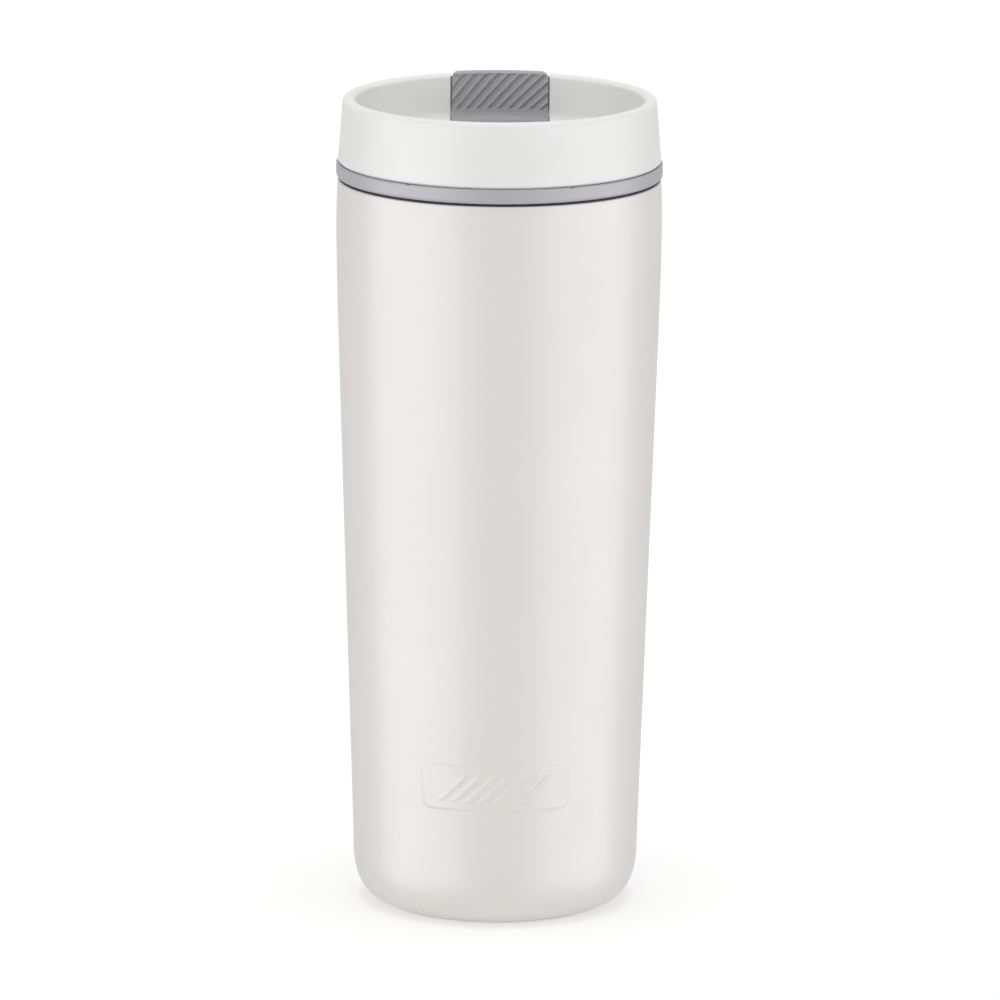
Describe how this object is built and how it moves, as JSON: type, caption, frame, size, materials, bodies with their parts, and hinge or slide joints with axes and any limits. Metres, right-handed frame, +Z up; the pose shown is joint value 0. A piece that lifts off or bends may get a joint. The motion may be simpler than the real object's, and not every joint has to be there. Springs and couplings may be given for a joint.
{
  "type": "insulated travel mug",
  "caption": "Tall double-walled steel travel mug with a screw-on lid, deep drinking dish and flip lever with a ribbed thumb tab.",
  "frame": {"origin": "centre of the base, on the surface the mug stands on", "axes": "+Z up along the mug's axis, +Y towards the thumb tab, -Y towards the raised plaque, +X to the right seen from the front"},
  "size_m": [0.0804, 0.0804, 0.2027],
  "materials": {
    "white_coat": "satin white powder coat on stainless steel",
    "steel": "brushed stainless steel",
    "pad_rubber": "matt moulded rubber",
    "copper_foil": "thin bright copper foil",
    "getter_metal": "sintered grey pellet",
    "solder": "dull solder drop",
    "silicone": "translucent white silicone",
    "seal_rubber": "near-black moulded silicone",
    "white_plastic": "satin white moulded plastic",
    "light_grey_plastic": "satin light grey moulded plastic",
    "grey_plastic": "satin grey moulded plastic",
    "foam": "white closed-cell foam"
  },
  "bodies": {
    "mug_body": {"outer_shell": "white_coat", "inner_liner": "steel", "shell_base": "steel", "base_pad": "pad_rubber", "foil_wrap": "copper_foil", "getter": "getter_metal", "vacuum_seal": "solder"},
    "gasket": {"lid_gasket": "seal_rubber"},
    "lid": {"lid_collar": "white_plastic", "trim_ring": "light_grey_plastic", "lid_plug": "grey_plastic", "lid_insulation": "foam", "port_seat": "silicone", "hinge_pin": "steel"},
    "flip_lever": {"lever": "grey_plastic", "port_plug": "silicone", "vent_plug": "silicone"}
  },
  "joints": [
    {"name": "lid_lift", "type": "slide", "parent": "mug_body", "child": "gasket", "axis": [0, 0, 1], "range_m": [0, 0.03]},
    {"name": "lid_turn", "type": "hinge", "parent": "gasket", "child": "lid", "pos_m": [0, 0, 0.1821], "axis": [0, 0, 1], "range_deg": [0, 720]},
    {"name": "lever_flip", "type": "hinge", "parent": "lid", "child": "flip_lever", "pos_m": [0, 0.0358, 0.1904], "axis": [-1, 0, 0], "range_deg": [0, 90]}
  ],
  "couplings": [
    {"joint": "lid_lift", "follows": "lid_turn", "m_per_rad": 0.0023873}
  ]
}
